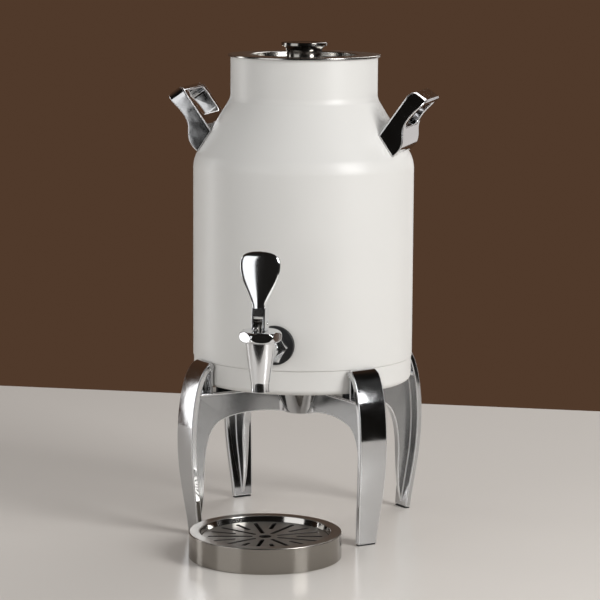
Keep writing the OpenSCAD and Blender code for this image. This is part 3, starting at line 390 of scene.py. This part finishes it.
class Workpiece:
    """A mesh under way, drawn in millimetres, that ends as one piece of the urn."""

    MERGE = 0.06    # corners of the frame's triangles that lie this near each other are one
    SLIVER = 0.02   # edges shorter than this go
    FLAT = 0.4      # degrees below which neighbouring faces are one
    BEND = 7.0      # degrees to each face of a rounded corner
    SEAM = 1e-4     # ends of a spin that lie this near each other are one
    AXIS = 1e-6     # points this near the axis lie on it

    def __init__(self) -> None:
        """Starts empty."""
        self.bm = bmesh.new()

    @classmethod
    def of_node(cls, node: str) -> "Workpiece":
        """Starts from a merged copy of a solid of the frame.

        Args:
            node: name of the solid.

        Returns:
            The new workpiece, with its flat faces whole.
        """
        piece = cls()
        piece.bm.from_mesh(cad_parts[node].data)
        bmesh.ops.scale(piece.bm, vec=(1 / MM,) * 3, verts=piece.bm.verts[:])
        bmesh.ops.remove_doubles(piece.bm, verts=piece.bm.verts[:], dist=cls.MERGE)
        bmesh.ops.dissolve_degenerate(piece.bm, edges=piece.bm.edges[:], dist=cls.SLIVER)
        bmesh.ops.dissolve_limit(piece.bm, verts=piece.bm.verts[:], edges=piece.bm.edges[:], delimit=set(),
                                 angle_limit=math.radians(cls.FLAT), use_dissolve_boundaries=False)
        return piece

    def outline(self, corners: Sequence[Corner]) -> None:
        """Draws a flat face in the XZ plane and rounds its corners.

        Args:
            corners: X, Z and radius of each corner in turn.
        """
        verts = [self.bm.verts.new((x, 0.0, z)) for x, z, _ in corners]
        self.bm.faces.new(verts)
        spots = [vert.co.copy() for vert in verts]
        for index, (_, _, radius) in enumerate(corners):
            if radius <= 0.0:
                continue
            spot, before = spots[index], spots[index - 1]
            after = spots[(index + 1) % len(spots)]
            turn = math.pi - (before - spot).angle(after - spot)
            bmesh.ops.bevel(self.bm, geom=[verts[index]], offset=radius * math.tan(turn / 2), profile=0.5,
                            offset_type="OFFSET", segments=max(2, round(math.degrees(turn) / self.BEND)),
                            affect="VERTICES", material=-1, clamp_overlap=False)

    def turned(self, corners: Sequence[Corner], steps: int) -> "Workpiece":
        """Spins a rounded outline round the upright axis, as a lathe would.

        Args:
            corners: X, Z and radius of each corner in turn.
            steps: faces round the full circle.

        Returns:
            This workpiece.
        """
        own = Workpiece()
        own.outline(corners)
        bmesh.ops.delete(own.bm, geom=own.bm.faces[:], context="FACES_ONLY")
        axis = [e for e in own.bm.edges if max(abs(v.co.x) for v in e.verts) < self.AXIS]
        bmesh.ops.delete(own.bm, geom=axis, context="EDGES")
        bmesh.ops.spin(own.bm, geom=own.bm.verts[:] + own.bm.edges[:], cent=(0, 0, 0), axis=(0, 0, 1),
                       dvec=(0, 0, 0), angle=2 * math.pi, steps=steps, use_merge=True)
        bmesh.ops.remove_doubles(own.bm, verts=own.bm.verts[:], dist=self.SEAM)
        bmesh.ops.recalc_face_normals(own.bm, faces=own.bm.faces[:])
        return self.join(own)

    def soften(self, width: float, segments: int = 3, sharper: float = 32.0,
               where: Callable[[Vector], bool] = lambda spot: True, paint: int = -1,
               clamp: bool = False) -> "Workpiece":
        """Rounds the edges that are sharper than an angle, and stays inside the box it had before.

        Args:
            width: width of the rounding.
            segments: faces across it.
            sharper: angle in degrees above which an edge is rounded.
            where: test of an edge's middle, true where it is to be rounded.
            paint: material index of the rounded edges, or -1 for that of the faces beside them.
            clamp: makes the rounding narrower where it would cross itself.

        Returns:
            This workpiece.
        """
        spots = [vert.co.copy() for vert in self.bm.verts]
        low, high = [min(axis) for axis in zip(*spots)], [max(axis) for axis in zip(*spots)]
        edges = [e for e in self.bm.edges
                 if e.is_manifold and e.calc_face_angle(0.0) > math.radians(sharper)
                 and where((e.verts[0].co + e.verts[1].co) / 2)]
        rounded = bmesh.ops.bevel(self.bm, geom=edges, offset=width, offset_type="OFFSET", profile=0.5,
                                  segments=segments, affect="EDGES", clamp_overlap=clamp,
                                  material=-1)["faces"]
        if paint >= 0:
            for face in rounded:
                face.material_index = paint
        for vert in self.bm.verts:
            vert.co = [min(max(value, least), most)
                       for value, least, most in zip(vert.co, low, high)]
        return self

    def moved(self, matrix: Matrix) -> "Workpiece":
        """Carries the whole mesh to another place."""
        bmesh.ops.transform(self.bm, matrix=matrix, verts=self.bm.verts[:])
        return self

    def join(self, other: "Workpiece") -> "Workpiece":
        """Takes in the mesh of another workpiece.

        Args:
            other: the other workpiece, which is used up.

        Returns:
            This workpiece.
        """
        spare = bpy.data.meshes.new("spare")
        other.bm.to_mesh(spare)
        other.bm.free()
        self.bm.from_mesh(spare)
        bpy.data.meshes.remove(spare)
        return self

    def painted(self, index: int, where: Callable[[bmesh.types.BMFace], bool]) -> "Workpiece":
        """Gives the faces that pass a test a material of their own.

        Args:
            index: material index.
            where: the test of a face.

        Returns:
            This workpiece.
        """
        for face in self.bm.faces:
            if where(face):
                face.material_index = index
        return self


@dataclass
class Assembly:
    """A group of pieces that ride on one body of the frame, with its sizes in millimetres."""

    body: str

    def piece(self, name: str, work: Workpiece, finishes: Sequence[Finish], slot: str,
              nodes: Sequence[str], smooth: float = 38.0) -> bpy.types.Object:
        """Turns a finished workpiece into a piece of the scene.

        Args:
            name: name of the piece.
            work: its mesh, in millimetres.
            finishes: its finishes, in the order of the mesh's material indices.
            slot: material slot of the record; not used.
            nodes: solids that it stands for.
            smooth: angle in degrees below which faces are shaded as one surface.

        Returns:
            The new object.
        """
        bmesh.ops.scale(work.bm, vec=(MM,) * 3, verts=work.bm.verts[:])
        mesh = bpy.data.meshes.new(name)
        work.bm.to_mesh(mesh)
        work.bm.free()
        mesh.shade_smooth()
        mesh.set_sharp_from_angle(angle=math.radians(smooth))
        obj = bpy.data.objects.new(name, mesh)
        bpy.context.scene.collection.objects.link(obj)
        for finish in finishes:
            mesh.materials.append(finish.material())
        even = obj.modifiers.new("even", "WEIGHTED_NORMAL")
        even.keep_sharp = True
        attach(obj, self.body)
        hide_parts(*nodes)
        LOG.info("%s: %d faces", name, len(mesh.polygons))
        return obj

    def dress(self, finish: Finish, *nodes: str) -> None:
        """Gives solids of the frame that stay in view their material.

        Args:
            finish: the finish.
            *nodes: names of the solids.
        """
        for node in nodes:
            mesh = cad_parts[node].data
            mesh.materials.clear()
            mesh.materials.append(finish.material())
            LOG.info("%s: %s", node, finish.name)


# ---------------------------------------------------------------- the urn


@dataclass
class Can(Assembly):
    """Painted can: shell, base pan, handles, and the tank inside."""

    body: str = "can"
    radius: float = 115.0
    under_z: float = 154.8
    seam_z: float = 179.8
    shoulder_z: float = 386.0
    neck_z: float = 449.0
    mouth_z: float = 493.0
    neck_radius: float = 76.4
    sheet: float = 1.2
    flange: float = 1.0
    shoulder_bend: float = 30.0
    neck_bend: float = 14.0
    seam_gap: float = 0.6
    band_step: float = 0.8
    pan_rise: float = 3.0
    pan_radius: float = 74.0
    ring_radius: float = 77.0
    spigot_play: float = 0.1
    spigot_height: float = 8.0
    seat_radius: float = 102.75
    seat_z: float = 406.0
    screw_y: float = 28.0
    screw_clearance: float = 4.8

    def build(self) -> None:
        """Builds and dresses every piece of the can."""
        self.shell()
        self.base()
        self.handles()
        self.dress(SHEET, "inner_tank", "tank_shoulder", "tank_neck")
        self.dress(FOAM, "insulation")
        self.dress(FASTENER, "handle_screws", "lock_nut")
        self.dress(SILICONE, "inner_washer")

    def shell(self) -> None:
        """Spins the shell: its side, shoulder and neck, from the seam up to the mouth."""
        low, high, t = self.seam_z + self.seam_gap, self.mouth_z - self.flange, self.sheet
        r, n = self.radius, self.neck_radius
        work = Workpiece().turned([
            (r, low, 0.35), (r, self.shoulder_z, self.shoulder_bend), (n, self.neck_z, self.neck_bend),
            (n, high, 0.3), (n - t, high, 0.3), (n - t, self.neck_z - 0.3, self.neck_bend + 1.0),
            (r - t, self.shoulder_z - 0.3, self.shoulder_bend - t), (r - t, low, 0.3)], WIDE)
        self.piece("shell", work, [ENAMEL], "paint", ["outer_shell"])

    def base(self) -> None:
        """Spins the base pan below the seam."""
        r, z, t = self.radius - self.band_step, self.under_z, self.sheet
        spigot, top = self.radius - t - self.spigot_play, self.seam_z + self.spigot_height
        pan, inner, ring = z + self.pan_rise, self.pan_radius, self.ring_radius
        work = Workpiece().turned([
            (0, pan, 0), (inner, pan, 3.0), (ring, z, 3.0), (r, z, 6.0), (r, self.seam_z, 0.4),
            (spigot, self.seam_z, 0.2), (spigot, top, 0.4), (spigot - t, top, 0.4),
            (spigot - t, z + t, 5.0), (ring, z + t, 3.0), (inner, pan + t, 3.0), (0, pan + t, 0)], WIDE)
        self.piece("base_band", work, [ENAMEL], "paint", ["base_pan"])

    def handles(self) -> None:
        """Rounds the cast loops of both handles."""
        for side in ("right", "left"):
            work = Workpiece.of_node(f"handle_{side}")
            # The rounded edges take material 1, the painted highlight.
            work.soften(1.5, 4, 34.0, where=self._clear_of_screws, paint=1)
            self.piece(f"handle_loop_{side}", work, [CAST_CHROME, EDGE_HIGHLIGHT], "chrome",
                       [f"handle_{side}"], 30.0)

    def _clear_of_screws(self, spot: Vector) -> bool:
        """Tells whether a point of a handle is away from its screw holes."""
        hole = Vector((math.sqrt(self.seat_radius ** 2 - self.screw_y ** 2), self.screw_y, self.seat_z))
        return (Vector((abs(spot.x), abs(spot.y), spot.z)) - hole).length > self.screw_clearance


@dataclass
class Lid(Assembly):
    """Steel lid with its dish, its turned knob and the pan inside the neck."""

    body: str = "lid"
    rim: float = 79.25
    rim_inner: float = 77.3
    rim_depth: float = 2.2
    top_z: float = 494.2
    sheet: float = 1.17
    dish: float = 55.0
    dish_outer: float = 56.2
    dish_depth: float = 6.0
    knob_radius: float = 23.9
    waist: float = 18.4
    knob_height: float = 18.6
    knob_edge: float = 3.4
    knob_dip: float = 0.6

    def build(self) -> None:
        """Builds and dresses every piece of the lid."""
        top, floor, t = self.top_z, self.top_z - self.dish_depth, self.sheet
        work = Workpiece().turned([
            (0, floor, 0), (self.dish, floor, 1.6), (self.dish, top, 1.2), (self.rim, top, 0.9),
            (self.rim, top - self.rim_depth, 0.5), (self.rim_inner, top - self.rim_depth, 0.3),
            (self.rim_inner, top - t, 0.2), (self.dish_outer, top - t, 0.3),
            (self.dish_outer, floor - t, 1.0), (0, floor - t, 0)], WIDE)
        work.painted(1, lambda f: f.calc_center_median().z > floor - 0.2
                     and f.calc_center_median().xy.length < self.dish - 0.5)
        self.piece("lid_sheet", work, [STEEL, MIRROR], "lid_steel", ["lid_top"])
        self.knob(floor)
        self.dress(SHEET, "lid_inner_pan")
        self.dress(SILICONE, "lid_seal")
        self.dress(FASTENER, "knob_screw")

    def knob(self, floor: float) -> None:
        """Spins the knob, a waisted spool with a flared top.

        Args:
            floor: height of the dish's floor.
        """
        top, w, r = floor + self.knob_height, self.waist, self.knob_radius
        flare, dip = top - self.knob_edge, top - self.knob_dip
        corners = [(0, floor, 0)]
        corners += curve((w + 0.6, floor), (w - 1, flare - 7), (w - 0.5, flare - 1), (r - 1, flare - 0.5),
                         24)
        corners += [(r, flare, 0.3), (r, top, 0.9), (r - 5, top - 0.1, 1.5), (r - 8, dip, 2.0), (0, dip, 0)]
        work = Workpiece().turned(corners, NARROW)
        # The knob takes the darker copy of the turned steel: painted shade.
        self.piece("knob", work, [SHADED_STEEL], "polished_steel", ["lid_knob"])


@dataclass
class Tap(Assembly):
    """Chrome tap: washer, hexagon, body, bonnet and what they hold."""

    body: str = "can"
    axis_y: float = -172.0
    axis_z: float = 206.8
    washer_back_y: float = -113.0
    washer_face_y: float = -118.2
    washer_radius: float = 20.0
    washer_hole: float = 10.1
    nut_depth: float = 18.0
    bonnet_z: float = 219.5
    spout: float = 9.3
    spout_end: float = 8.8
    spout_drop: float = 37.8
    top_radius: float = 15.1
    mouth: float = 5.5
    seat_drop: float = 7.8
    chamber: float = 9.2
    socket: float = 13.7
    socket_height: float = 6.0
    bore: float = 5.2
    neck: float = 10.0
    neck_collar: float = 11.4
    shank: float = 9.8
    shank_length: float = 30.0
    shank_end_y: float = -92.0
    lift: float = 3.0

    def build(self) -> None:
        """Builds and dresses the tap, apart from its lever."""
        self.washer()
        self.casting()
        nut = Workpiece.of_node("shank_nut").soften(0.7, 3, 25.0, clamp=True)
        self.piece("shank_hexagon", nut, [CHROME], "chrome", ["shank_nut"], 30.0)
        bonnet = Workpiece.of_node("bonnet").soften(0.9, 3, 25.0)
        self.piece("bonnet_nut", bonnet, [CHROME], "chrome", ["bonnet"], 40.0)
        self.spring()
        # The spindle takes the darker steel as well: painted shade for the shade inside the lever's fork.
        self.dress(SHADED_STEEL, "spindle")
        self.dress(SILICONE, "seat_cup")

    def spring(self) -> None:
        """Gives the return spring a mesh of its own; the real one shortens against the bonnet as the
        spindle rises.
        """
        coil = self.piece("spring_coil", Workpiece.of_node("return_spring"), [FASTENER], "screw_steel",
                          ["return_spring"], 70.0)
        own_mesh(coil)

    def _lying(self, y: float) -> Matrix:
        """Matrix that lays an upright shape on the shank's axis, pointing outwards from y."""
        return Matrix.Translation((0, y, self.axis_z)) @ Matrix.Rotation(math.radians(90), 4, "X")

    def washer(self) -> None:
        """Spins the black washer that seals the shank on the can."""
        depth, hole, r = self.washer_back_y - self.washer_face_y, self.washer_hole, self.washer_radius
        work = Workpiece().turned([(hole, 0, 0), (r, 0, 0.3), (r, depth, 0.9), (hole, depth, 0.3)], SLIM)
        work.moved(self._lying(self.washer_back_y))
        self.piece("washer", work, [RUBBER], "rubber", ["tap_washer"])

    def casting(self) -> None:
        """Joins the upright body, the neck and the threaded shank into one casting."""
        work = self._upright().join(self._neck()).join(self._shank())
        self.piece("tap_casting", work, [CHROME], "chrome", ["tap_body"])

    def _upright(self) -> Workpiece:
        """Spins the upright body with its spout, its valve seat and the socket of the bonnet.

        Returns:
            The body, in place.
        """
        s, top, z = self.spout, self.top_radius, self.bonnet_z
        low, seat = self.axis_z - self.spout_drop, self.axis_z - self.seat_drop
        socket = z + self.socket_height
        start = low + self.spout_end
        rise = z - start
        corners = [(self.mouth, low, 0.4), (s, low, 0.8)]
        corners += curve((s, start), (s + 0.04 * rise, start + 0.24 * rise),
                         (top - 0.04 * rise, start + 0.58 * rise), (top, z), 16)
        corners += [(self.socket, z, 0.2), (self.socket, socket, 0.2), (self.chamber, socket, 0.2),
                    (self.chamber, seat, 0.2), (self.mouth, seat, 0.3)]
        return Workpiece().turned(corners, NARROW).moved(Matrix.Translation((0, self.axis_y, 0)))

    def _neck(self) -> Workpiece:
        """Spins the neck, which runs through the hexagon into the upright body.

        Returns:
            The neck, in place.
        """
        start, bore, r, collar = self.washer_face_y, self.bore, self.neck, self.neck_collar
        end = start - self.axis_y - 4
        work = Workpiece().turned([
            (bore, 0, 0), (r, 0, 0), (r, self.nut_depth - 1, 0.2), (collar, self.nut_depth - 0.4, 0.4),
            (collar, end, 0.2), (bore, end, 0.2)], SLIM)
        return work.moved(self._lying(start))

    def _shank(self) -> Workpiece:
        """Spins the shank, which passes through both walls of the can.

        Returns:
            The shank, in place.
        """
        bore, r, length = self.bore, self.shank, self.shank_length
        work = Workpiece().turned([(bore, 0, 0), (r, 0, 0.6), (r, length, 0.2), (bore, length, 0)], SLIM)
        return work.moved(self._lying(self.shank_end_y))


@dataclass
class Lever(Assembly):
    """Lever of the tap: a forked block under a smooth drop-shaped paddle."""

    body: str = "lever"
    axis_y: float = -172.0
    pivot_z: float = 238.3
    block_height: float = 19.0
    block_cut: float = 1.5
    neck: float = 7.35
    half_width: float = 20.6
    half_depth: float = 5.6
    fullness: float = 2.4
    lean: float = 0.10
    wide_at: float = 58.4
    top_at: float = 71.6
    middle_y: float = -2.0
    sides: int = 48

    def build(self) -> None:
        """Builds the lever and dresses its pin."""
        work = Workpiece.of_node("lever")
        cut = self.pivot_z + self.block_height - self.block_cut
        geometry = work.bm.verts[:] + work.bm.edges[:] + work.bm.faces[:]
        bmesh.ops.bisect_plane(work.bm, geom=geometry, plane_co=(0, 0, cut), plane_no=(0, 0, 1),
                               clear_outer=True)
        bmesh.ops.holes_fill(work.bm, edges=[e for e in work.bm.edges if e.is_boundary])
        work.soften(0.9, 3, 28.0)
        work.join(self.paddle())
        self.piece("lever_paddle", work, [CHROME], "chrome", ["lever"], 40.0)
        self.dress(FASTENER, "pivot_pin")

    def paddle(self) -> Workpiece:
        """Lofts the paddle from a ring that is drawn up and scaled at each height.

        Returns:
            The paddle, in place.
        """
        base, wide, top, broad = self.block_height, self.wide_at, self.top_at - 0.02, self.half_width
        below, above = self.wide_at - base, self.top_at - wide
        low = curve((self.neck - 0.6, base - 2 * self.block_cut), (self.neck + 0.8, base + 0.19 * below),
                    (broad, base + 0.53 * below), (broad, wide), 20)
        high = curve((broad, wide), (broad, wide + 0.58 * above), (0.78 * broad, top), (0.8, top), 20)
        work = Workpiece()
        ring = bmesh.ops.create_circle(work.bm, cap_ends=True, segments=self.sides, radius=1.0)["verts"]
        self._shape(ring, *low[0][:2])
        for width, height, _ in low[1:] + high[1:]:
            edges = [e for e in work.bm.edges if all(v in ring for v in e.verts)]
            grown = bmesh.ops.extrude_edge_only(work.bm, edges=edges)["geom"]
            ring = [v for v in grown if isinstance(v, bmesh.types.BMVert)]
            self._shape(ring, width, height)
        bmesh.ops.contextual_create(work.bm, geom=ring)
        bmesh.ops.recalc_face_normals(work.bm, faces=work.bm.faces[:])
        return work.moved(Matrix.Translation((0, self.axis_y + self.middle_y, self.pivot_z)))

    def _shape(self, ring: Iterable[bmesh.types.BMVert], width: float, height: float) -> None:
        """Draws one ring of the paddle out to its width and thickness.

        Args:
            ring: its vertices.
            width: half of its width.
            height: its height above the pivot.
        """
        rise = max(0.0, (height - self.wide_at) / (self.top_at - self.wide_at))
        deep = self.half_depth * math.sqrt(max(0.02, 1.0 - rise ** self.fullness))
        lean = self.lean * (self.top_at - height) * (1.0 - min(1.0, height / self.top_at))
        for index, vert in enumerate(ring):
            way = math.tau * index / self.sides
            vert.co = (math.cos(way) * width, math.sin(way) * deep - lean, height)


@dataclass
class Stand(Assembly):
    """Cast stand: four hooked legs round a polished hub."""

    body: str = "stand"
    angles: dict[str, float] = field(default_factory=lambda: {
        "front_right": -45.0, "back_right": 45.0, "back_left": 135.0, "front_left": 225.0})
    hub_low_z: float = 118.3
    hub_high_z: float = 147.0
    hub_low_radius: float = 20.5
    hub_high_radius: float = 35.0
    hub_sides: int = 144
    web_side: float = 6.0
    web_start: float = 30.75

    def build(self) -> None:
        """Builds and dresses every piece of the stand."""
        for place, angle in self.angles.items():
            self.leg(place, angle)
        low, high = self.hub_low_z, self.hub_high_z
        work = Workpiece().turned([
            (0, low, 0), (self.hub_low_radius, low, 1.4), (self.hub_high_radius, high, 0.2),
            (0, high, 0)], self.hub_sides)
        self.piece("hub_cone", work, [CAST_CHROME], "chrome", ["hub"])
        self.dress(FASTENER, "hub_screws")
        self.dress(RUBBER, "foot_pads", "can_rests")

    def leg(self, place: str, angle: float) -> None:
        """Rounds one casting and sets its satin sides off from its polished plate.

        Args:
            place: which leg.
            angle: its direction round the axis, in degrees.
        """
        work = Workpiece.of_node(f"leg_{place}")
        work.moved(Matrix.Rotation(math.radians(-angle), 4, "Z"))
        work.painted(1, lambda f: abs(f.normal.y) > 0.9
                     and abs(f.calc_center_median().y) < self.web_side
                     and f.calc_center_median().x > self.web_start)
        # The rounded edges take material 2, the painted highlight.
        work.soften(1.1, 3, 30.0, paint=2)
        work.moved(Matrix.Rotation(math.radians(angle), 4, "Z"))
        self.piece(f"leg_casting_{place}", work, [CAST_CHROME, SATIN_CAST, EDGE_HIGHLIGHT], "chrome",
                   [f"leg_{place}"], 34.0)


@dataclass
class DripTray(Assembly):
    """Round steel tray that stands on the table."""

    body: str = "drip_tray"
    radius: float = 76.7
    height: float = 26.2
    rim: float = 11.0
    sheet: float = 1.5
    foot: float = 3.0
    ledge: float = 4.0
    grille_z: float = 20.2
    grille_sheet: float = 1.6

    def build(self) -> None:
        """Builds the tray."""
        r, h, n, t = self.radius, self.height, self.radius - self.rim, self.sheet
        seat, ledge = self.grille_z - self.grille_sheet, n - t - self.ledge
        work = Workpiece().turned([
            (0, t, 0), (r - self.foot - 1, t, 0.4), (r - self.foot, 0, 0.4), (r, 0, 1.0), (r, h, 1.2),
            (n, h, 1.2), (n - t, self.grille_z, 0.3), (n - t, seat, 0.1), (ledge, seat, 0.3),
            (ledge, seat - t, 0.3), (n, seat - t, 0.3), (n + 0.6, h - t, 0.4), (r - t, h - t, 0.6),
            (r - t, 2 * t, 0.8), (0, 2 * t, 0)], WIDE)
        work.painted(1, lambda f: f.normal.z > 0.4 and f.calc_center_median().z > h - 2)
        work.painted(2, lambda f: f.calc_center_median().z < h - 0.6
                     and f.calc_center_median().xy.length < n + 0.1)
        work.moved(Matrix.Translation((*TRAY_CENTRE, 0)))
        # The tray's side takes the darkened brushed steel: painted shade.
        self.piece("tray", work, [SHADED_TRAY_SIDE, TRAY_RIM, MIRROR], "tray_steel", ["drip_tray"])


@dataclass
class Grille(Assembly):
    """Slotted plate in the tray."""

    body: str = "grille"

    def build(self) -> None:
        """Rounds the pressed edges of the plate and its slots."""
        work = Workpiece.of_node("grille")
        # Upright faces, the slot walls and the rim, take the near-black finish: painted shade.
        work.painted(1, lambda f: abs(f.normal.z) < 0.3)
        work.soften(0.3, 2, 40.0)
        self.piece("slotted_plate", work, [GRILLE_STEEL, SLOT_SHADE], "satin_steel", ["grille"], 30.0)


# ---------------------------------------------------------------- studio


@dataclass(frozen=True)
class Lamp:
    """A soft rectangular lamp that looks at the urn.

    Attributes:
        name: its name.
        place: where it hangs, in metres.
        size: its width and height, in metres.
        power: its power, in watts.
        aim: the point that it looks at, in metres.
    """

    name: str
    place: Triple
    size: Point
    power: float
    aim: Triple = (0.0, -0.03, 0.24)

    def hang(self) -> None:
        """Puts the lamp in its place."""
        light = bpy.data.lights.new(self.name, "AREA")
        light.shape = "RECTANGLE"
        light.size, light.size_y = self.size
        light.energy = self.power
        lamp = bpy.data.objects.new(self.name, light)
        bpy.context.scene.collection.objects.link(lamp)
        lamp.location = self.place
        lamp.visible_camera = False
        way = Vector(self.aim) - lamp.location
        lamp.rotation_euler = way.to_track_quat("-Z", "Y").to_euler()


LAMPS = (
    Lamp("key", (1.60, -0.75, 1.05), (0.7, 1.1), 26.0),
    Lamp("fill", (-1.20, -1.56, 0.60), (1.35, 1.5), 8.0),
    Lamp("side", (-1.75, 0.15, 0.40), (0.4, 1.3), 4.0),
    Lamp("back", (0.5, 1.7, 1.6), (1.2, 1.2), 14.0),
    Lamp("rim", (0.50, 1.62, 0.25), (0.55, 0.7), 0.8),
)


@dataclass
class Studio:
    """Pale floor, soft lamps and the camera.

    Attributes:
        azimuth: degrees by which the camera stands round to the right.
        distance: its distance from the axis, in metres.
        height: its height, in metres.
        pitch: angle by which it looks down, in radians.
        roll: angle by which it leans, in radians.
        focal: its focal length, in pixels of the view.
        offset: how far its axis lies from the view's middle, in pixels.
        width: the view's width, in pixels.
        sensor: width of its sensor, in millimetres.
        table_turn: degrees by which the table is turned.
        table_back: how far the table reaches behind the urn, in metres.
        table_front: how far it reaches before the urn, in metres.
        table_width: its width, in metres.
        table_colour: linear colour of the table.
        wall_colour: linear colour of the wall behind the urn.
        shade_colour: linear colour of the rest of the room, as the chrome mirrors it.
        fill_colour: linear colour of the light that comes from all sides.
    """

    azimuth: float = 14.0
    distance: float = 2.7223
    height: float = 0.6445
    pitch: float = 0.1488
    roll: float = 0.0059
    focal: float = 2619.0
    offset: float = 2.837
    width: float = 600.0
    sensor: float = 36.0
    table_turn: float = 2.692
    table_back: float = 0.681
    table_front: float = 0.6
    table_width: float = 1.7
    table_colour: Triple = (0.76, 0.72, 0.675)
    wall_colour: Triple = (0.080, 0.042, 0.024)
    shade_colour: Triple = (0.008, 0.007, 0.006)
    fill_colour: Triple = (0.36, 0.36, 0.36)

    def build(self) -> None:
        """Sets up the whole studio."""
        self.camera()
        self.floor()
        self.world()
        for lamp in LAMPS:
            lamp.hang()
        bpy.context.scene.view_settings.view_transform = "Standard"

    def camera(self) -> None:
        """Places the camera before the urn, a little to the right."""
        lens = bpy.data.cameras.new("camera")
        lens.sensor_width = self.sensor
        lens.lens = self.sensor * self.focal / self.width
        lens.shift_x = -self.offset / self.width
        lens.clip_start, lens.clip_end = 0.05, 200.0
        eye = bpy.data.objects.new("camera", lens)
        bpy.context.scene.collection.objects.link(eye)
        turn = math.radians(self.azimuth)
        spot = (math.sin(turn) * self.distance, -math.cos(turn) * self.distance, self.height)
        eye.matrix_world = (
            Matrix.Translation(spot) @ Matrix.Rotation(turn, 4, "Z")
            @ Matrix.Rotation(math.pi / 2 - self.pitch, 4, "X") @ Matrix.Rotation(self.roll, 4, "Z"))
        bpy.context.scene.camera = eye

    def floor(self) -> None:
        """Lays the pale table top, with its back edge just behind the urn."""
        work = bmesh.new()
        bmesh.ops.create_grid(work, x_segments=1, y_segments=1, size=0.5)
        depth, middle = self.table_back + self.table_front, (self.table_back - self.table_front) / 2
        bmesh.ops.scale(work, vec=(self.table_width, depth, 1.0), verts=work.verts[:])
        bmesh.ops.translate(work, vec=(0.0, middle, 0.0), verts=work.verts[:])
        turn = Matrix.Rotation(math.radians(self.table_turn), 3, "Z")
        bmesh.ops.rotate(work, cent=(0, 0, 0), matrix=turn, verts=work.verts[:])
        mesh = bpy.data.meshes.new("floor")
        work.to_mesh(mesh)
        work.free()
        ground = bpy.data.objects.new("floor", mesh)
        bpy.context.scene.collection.objects.link(ground)
        coat = Coat("floor")
        coat.shader.inputs["Base Color"].default_value = (*self.table_colour, 1.0)
        coat.shader.inputs["Roughness"].default_value = 0.2
        coat.shader.inputs["Specular IOR Level"].default_value = 0.25
        mesh.materials.append(coat.material)

    def world(self) -> None:
        """Fills the surroundings: a plain brown wall to look at and to mirror, and an even pale fill."""
        world = bpy.data.worlds.new("studio")
        bpy.context.scene.world = world
        world.use_nodes = True
        graph = Graph(world.node_tree)
        facing = graph.add("ShaderNodeVectorMath", operation="DOT_PRODUCT")
        graph.join(graph.add("ShaderNodeTexCoord").outputs["Generated"], facing.inputs[0])
        turn = math.radians(self.azimuth)
        graph.join((-math.sin(turn), math.cos(turn), 0.0), facing.inputs[1])
        near = graph.span(facing.outputs["Value"], 0.0, 1.0, -0.1, 0.8)
        near.node.interpolation_type = "SMOOTHSTEP"
        wall = graph.mix(near, (*self.shade_colour, 1.0), (*self.wall_colour, 1.0))
        path = graph.add("ShaderNodeLightPath")
        shown = (*self.fill_colour, 1.0)
        for ray in ("Is Transmission Ray", "Is Glossy Ray", "Is Camera Ray"):
            shown = graph.mix(path.outputs[ray], shown, wall)
        sky = graph.add("ShaderNodeBackground")
        graph.join(shown, sky.inputs["Color"])
        graph.join(sky.outputs["Background"], graph.add("ShaderNodeOutputWorld").inputs["Surface"])


def main() -> None:
    """Builds the studio and every assembly in turn."""
    logging.basicConfig(level=logging.INFO, format="%(message)s")
    Studio().build()
    for assembly in (Can(), Lid(), Tap(), Lever(), Stand(), DripTray(), Grille()):
        LOG.info("-- %s", type(assembly).__name__)
        assembly.build()


if __name__ == "__main__":
    main()
